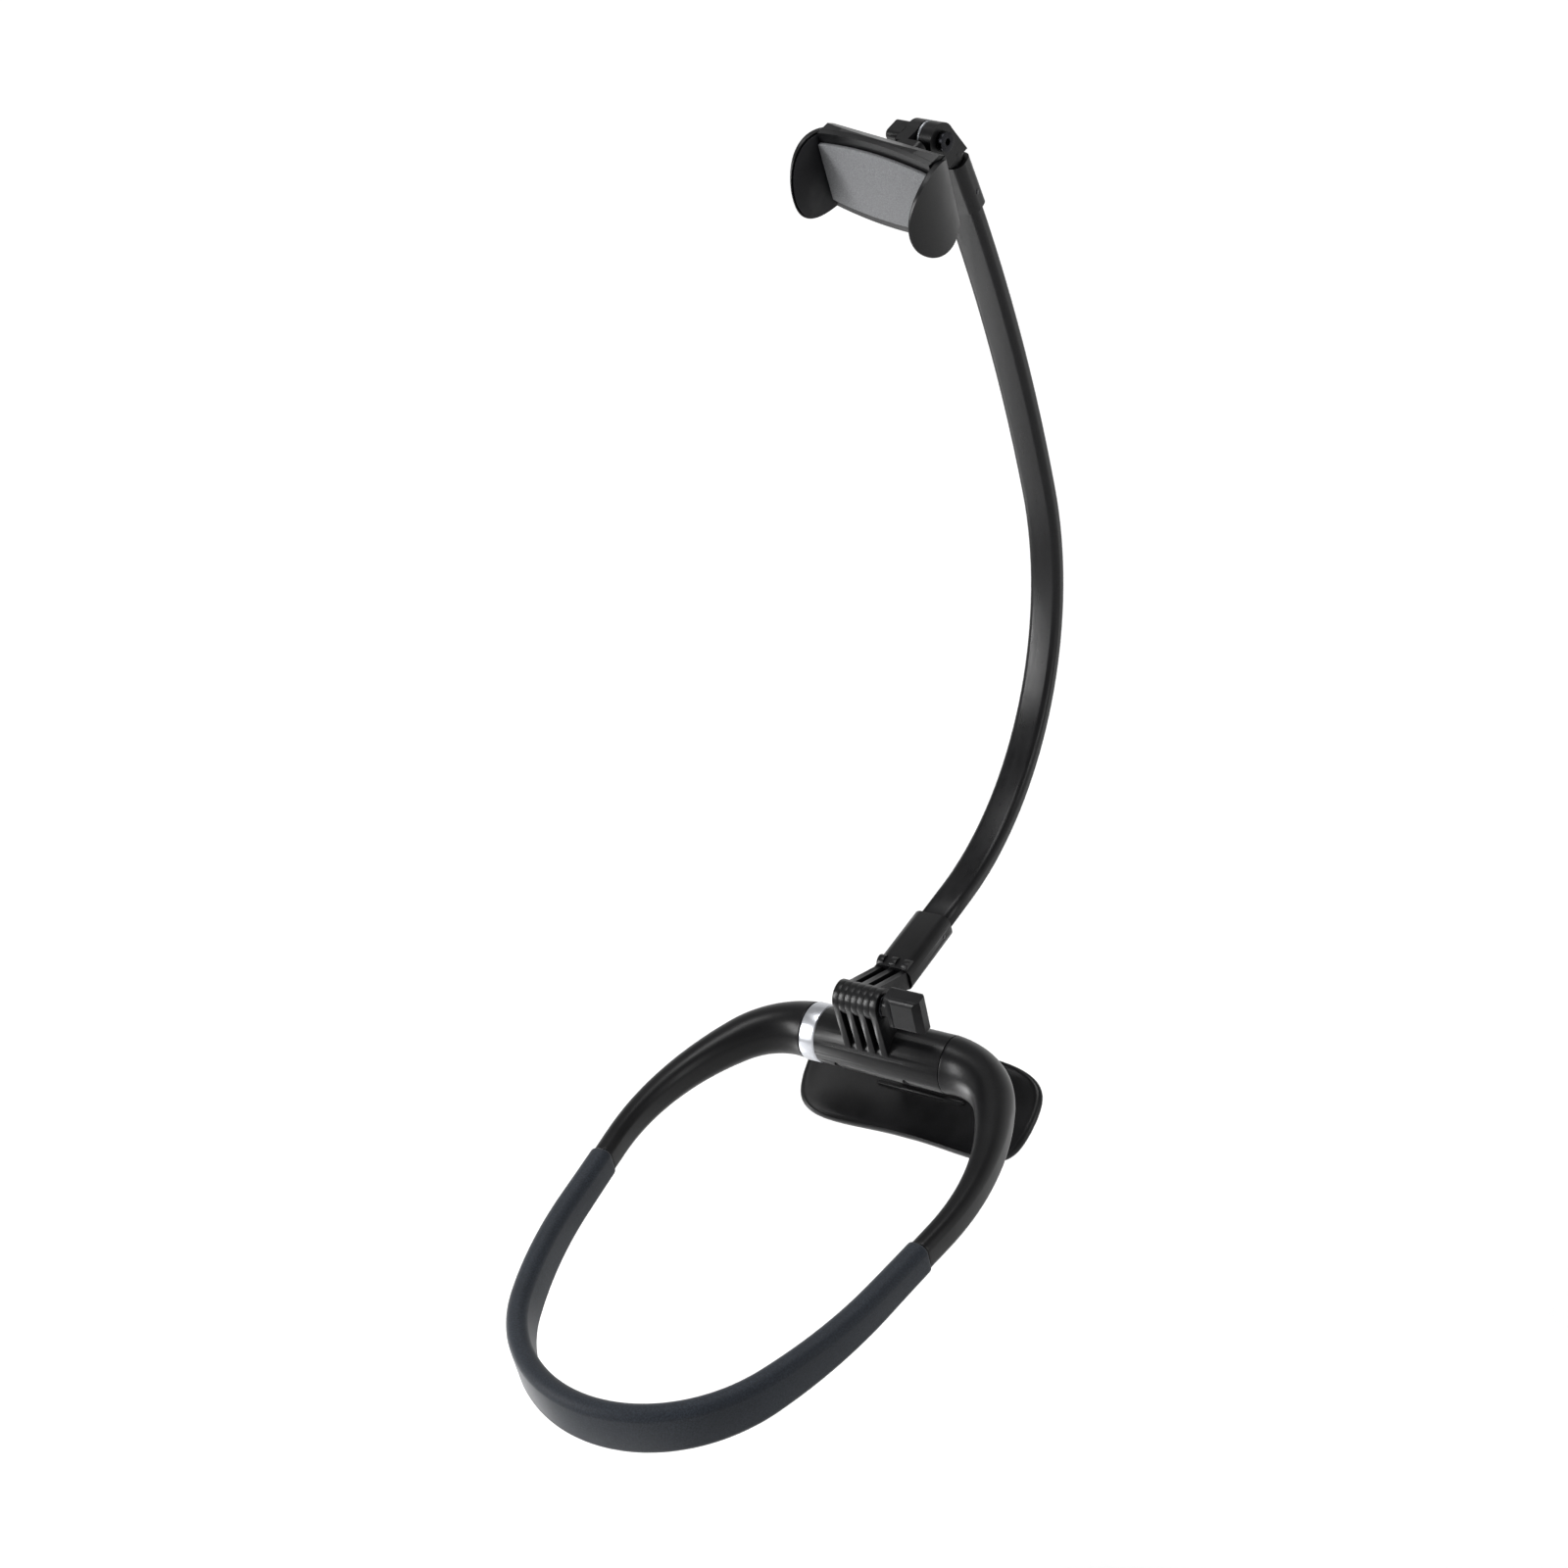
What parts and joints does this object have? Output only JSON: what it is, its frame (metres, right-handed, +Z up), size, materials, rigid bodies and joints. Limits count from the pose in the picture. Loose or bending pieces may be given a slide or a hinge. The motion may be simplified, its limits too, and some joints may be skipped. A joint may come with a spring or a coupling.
{
  "type": "neck phone holder",
  "caption": "Hands-free phone holder: padded neck loop, turning hub with a chest plate, bent arm on a fingered hinge, and a sprung phone clamp on a serrated knuckle.",
  "frame": {"origin": "middle of the neck pad's inner face, where it rests on the back of the neck", "axes": "+X to the wearer's right, +Y forward from the neck to the chest hub, +Z up"},
  "size_m": [0.1476, 0.3729, 0.3608],
  "materials": {
    "body_plastic": "satin",
    "pad_silicone": "matt",
    "grip_rubber": "matt",
    "liner_rubber": "matt",
    "ring_chrome": "polished",
    "steel": "zinc plated",
    "spring_steel": "plain",
    "arm_skin": "satin",
    "memory_metal": "plain",
    "bush_nylon": "natural"
  },
  "bodies": {
    "neck_loop": {"neck_pad": "pad_silicone", "loop_spring_strip": "spring_steel", "right_loop_arm": "body_plastic", "left_loop_arm": "body_plastic", "ring_collar": "ring_chrome", "hub_shaft": "steel"},
    "hub": {"hub_upper_shell": "body_plastic", "hub_lower_shell": "body_plastic", "hub_screws": "steel", "friction_bushes": "bush_nylon", "chest_plate": "body_plastic", "chest_plate_screws": "steel", "hinge_nut": "steel", "hinge_washer": "steel"},
    "hinge_knob": {"hinge_bolt": "steel", "hinge_thumb_knob": "body_plastic"},
    "arm": {"arm_lower_socket": "body_plastic", "arm_sleeve": "arm_skin", "arm_memory_strip": "memory_metal", "arm_upper_socket": "body_plastic", "arm_socket_pins": "steel", "swivel_washer": "steel"},
    "swivel": {"swivel_yoke": "body_plastic", "swivel_clip": "steel", "tooth_washer": "steel", "tilt_screw": "steel"},
    "thumb_nut": {"tilt_thumb_nut": "body_plastic"},
    "clamp_tilter": {"clamp_neck": "body_plastic", "clamp_neck_clip": "steel"},
    "clamp": {"clamp_base": "body_plastic", "clamp_front_cover": "body_plastic", "grip_pad": "grip_rubber", "clamp_screws": "steel", "jaw_springs": "spring_steel", "fixed_jaw_liner": "liner_rubber"},
    "jaw": {"sliding_jaw": "body_plastic", "sliding_jaw_liner": "liner_rubber"}
  },
  "joints": [
    {"name": "hub_turn", "type": "hinge", "parent": "neck_loop", "child": "hub", "pos_m": [0, 0.18838, 0], "axis": [1, 0, 0], "range_deg": [-30, 45]},
    {"name": "arm_tilt", "type": "hinge", "parent": "hub", "child": "arm", "pos_m": [0, 0.18338, 0.0268], "axis": [1, 0, 0], "range_deg": [-20, 75]},
    {"name": "hinge_knob_turn", "type": "hinge", "parent": "hub", "child": "hinge_knob", "pos_m": [0, 0.18338, 0.0268], "axis": [1, 0, 0], "continuous": true},
    {"name": "clamp_pan", "type": "hinge", "parent": "arm", "child": "swivel", "pos_m": [0, 0.33741, 0.28104], "axis": [0, -0.299, 0.9542], "range_deg": [-45, 45]},
    {"name": "tilt_nut_turn", "type": "hinge", "parent": "swivel", "child": "thumb_nut", "pos_m": [-0.00093, 0.32713, 0.29877], "axis": [0.9796, -0.1919, -0.0601], "continuous": true},
    {"name": "clamp_tilt", "type": "hinge", "parent": "swivel", "child": "clamp_tilter", "pos_m": [-0.00093, 0.32713, 0.29877], "axis": [0.9796, -0.1919, -0.0601], "range_deg": [-60, 15]},
    {"name": "clamp_roll", "type": "hinge", "parent": "clamp_tilter", "child": "clamp", "pos_m": [-0.00093, 0.32713, 0.29877], "axis": [-0.2009, -0.9465, -0.2527], "range_deg": [-90, 90]},
    {"name": "jaw_slide", "type": "slide", "parent": "clamp", "child": "jaw", "axis": [-0.9725, 0.1617, 0.1674], "range_m": [0, 0.032], "stiffness_N_per_m": 200, "springref_m": -0.03}
  ]
}
